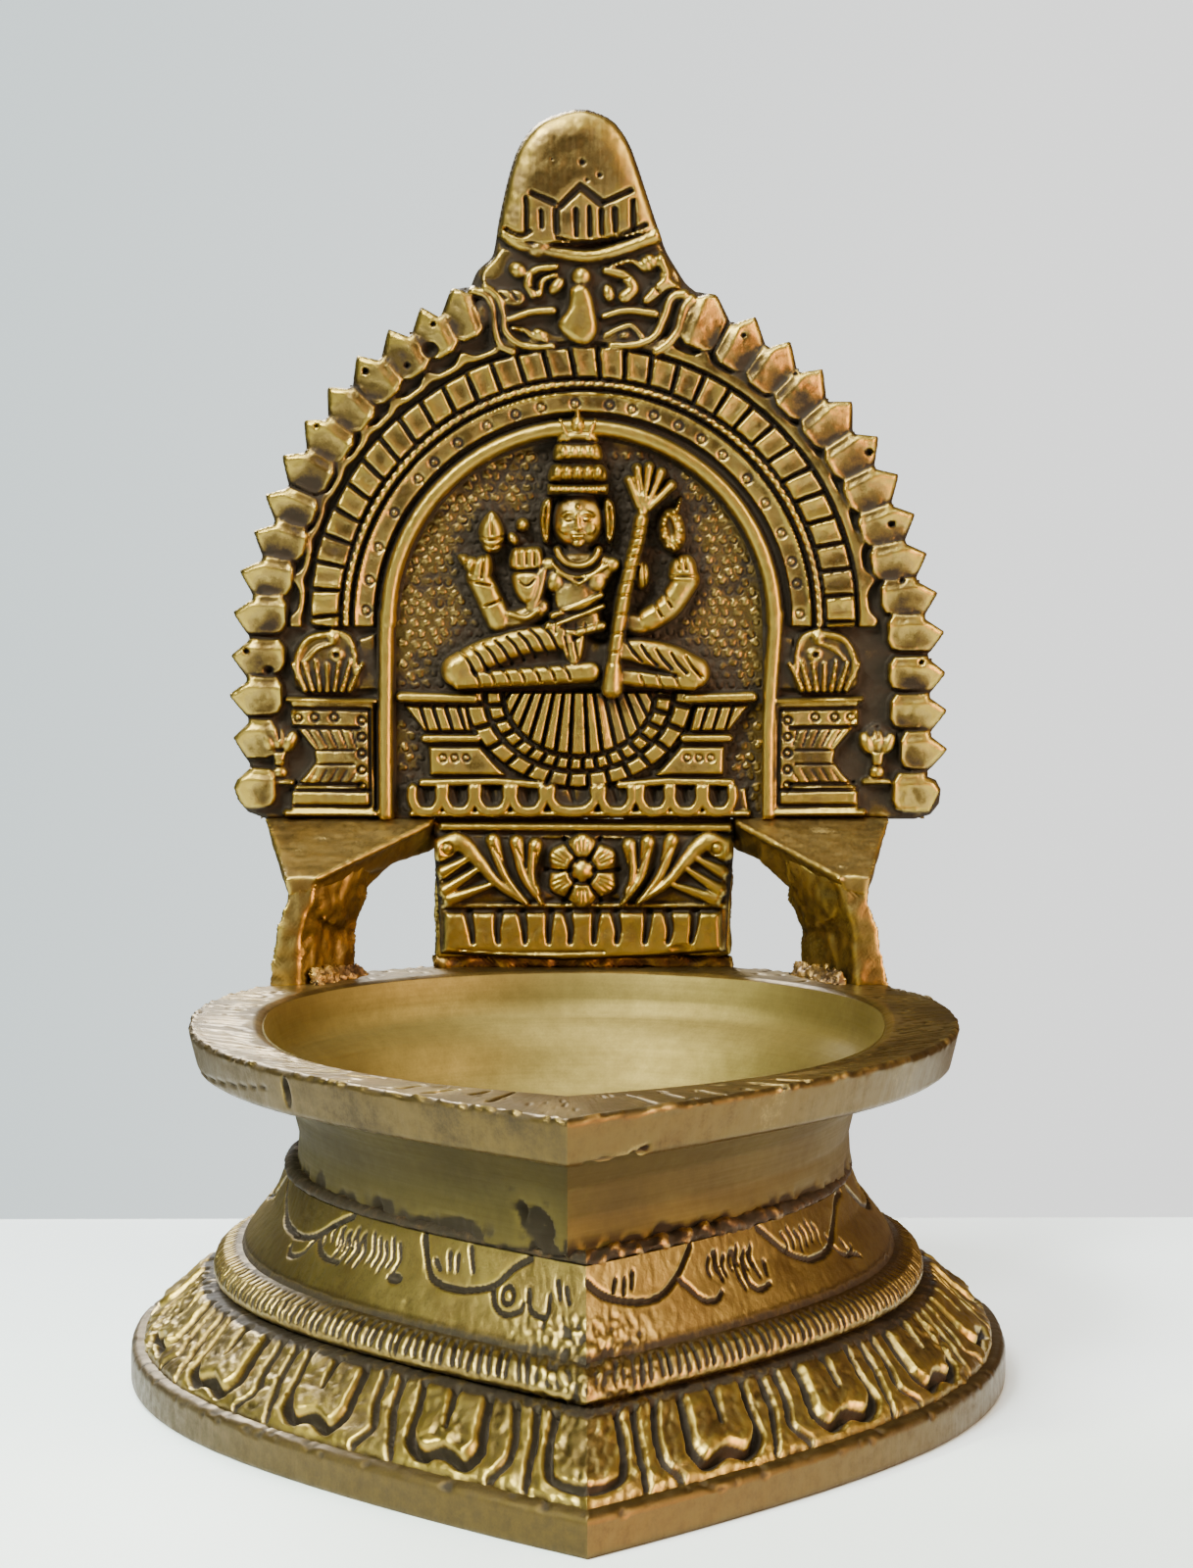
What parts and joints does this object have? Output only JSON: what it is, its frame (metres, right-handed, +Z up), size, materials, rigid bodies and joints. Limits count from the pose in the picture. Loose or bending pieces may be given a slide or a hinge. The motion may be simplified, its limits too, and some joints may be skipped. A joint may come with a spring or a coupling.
{
  "type": "diya oil lamp",
  "caption": "Cast-brass diya oil lamp: a leaf-shaped bowl on a carved lotus pedestal, with an arched relief back plate that shows a seated deity and serves as the handle",
  "frame": {"origin": "on the standing surface, under the middle of the foot's box", "axes": "+Z is up, -Y is the front where the bowl's pointed spout is, and +X is to the right seen from the front"},
  "size_m": [0.1024, 0.1354, 0.15],
  "materials": {
    "ground_brass": "filed and ground brass, softly brushed",
    "cast_brass": "antique cast brass, bright on the high spots and near-black brown in the recesses",
    "bowl_brass": "turned and brushed bright brass",
    "braze": "rough, porous, dark filler metal"
  },
  "bodies": {
    "root": {"foot_flange": "ground_brass", "lotus_skirt": "cast_brass", "bead_ring": "cast_brass", "scroll_drum": "cast_brass", "neck_braze": "braze", "bowl_cup": "bowl_brass", "bowl_rim": "ground_brass", "back_panel": "cast_brass", "petal_fringe_left": "cast_brass", "petal_fringe_right": "cast_brass", "block_arch": "cast_brass", "cord_arch": "cast_brass", "ring_arch": "cast_brass", "inner_arch_left": "cast_brass", "inner_arch_right": "cast_brass", "crest_finial": "ground_brass", "crest_mask": "cast_brass", "makara_left": "cast_brass", "makara_right": "cast_brass", "pillar_left": "cast_brass", "pillar_right": "cast_brass", "vase_left": "cast_brass", "vase_right": "cast_brass", "throne_left": "cast_brass", "throne_right": "cast_brass", "throne_plinth": "cast_brass", "seat_cloth": "cast_brass", "figure_legs": "cast_brass", "figure_torso": "cast_brass", "figure_head": "cast_brass", "figure_crown": "cast_brass", "figure_arm_left": "cast_brass", "figure_arm_right": "cast_brass", "figure_staff": "cast_brass", "apron_panel": "cast_brass", "rosette": "cast_brass", "scroll_leaf_left": "cast_brass", "scroll_leaf_right": "cast_brass", "rear_web": "braze", "leg_left": "cast_brass", "leg_right": "cast_brass", "wing_left": "ground_brass", "wing_right": "ground_brass", "foot_braze_left": "braze", "foot_braze_right": "braze"}
  },
  "joints": []
}
